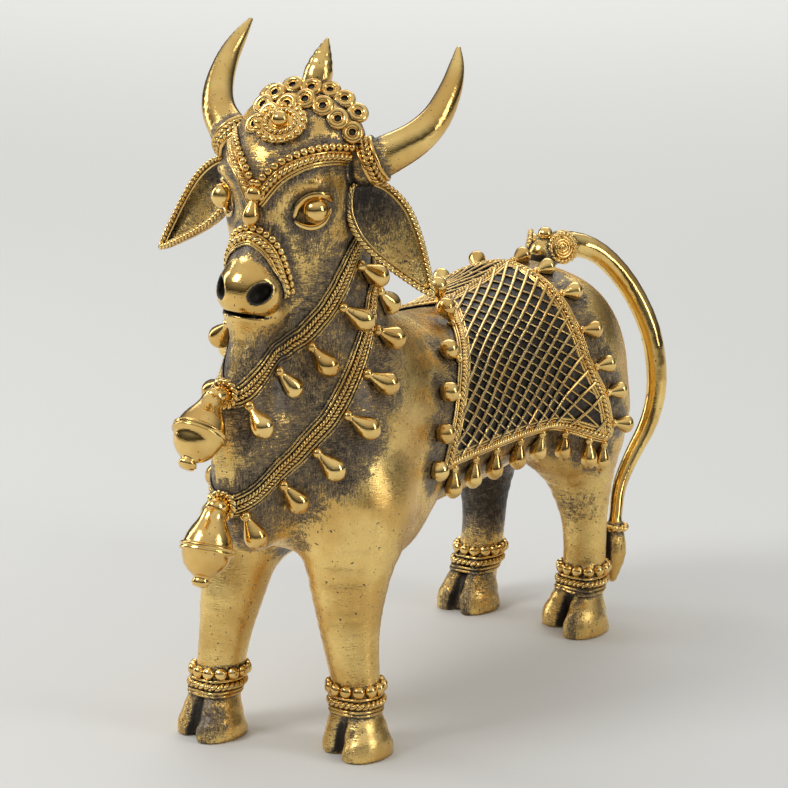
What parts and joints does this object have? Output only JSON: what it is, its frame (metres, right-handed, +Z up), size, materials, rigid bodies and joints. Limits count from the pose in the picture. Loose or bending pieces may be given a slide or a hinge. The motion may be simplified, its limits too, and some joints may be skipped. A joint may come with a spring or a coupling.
{
  "type": "nandi bull figure",
  "caption": "Standing Nandi bull cast in brass, with horns, crown of rings, neck collars with drops, bells and a netted saddle cloth.",
  "frame": {"origin": "on the ground, under the middle of the figure's box", "axes": "+Z up, the bull looks along -Y, its left side is +X"},
  "size_m": [0.0994, 0.2694, 0.2281],
  "materials": {
    "bull": "polished where it is raised, dark brown patina in the hollows, fine file marks and casting pits"
  },
  "bodies": {
    "root": {"bull": "bull"}
  },
  "joints": []
}
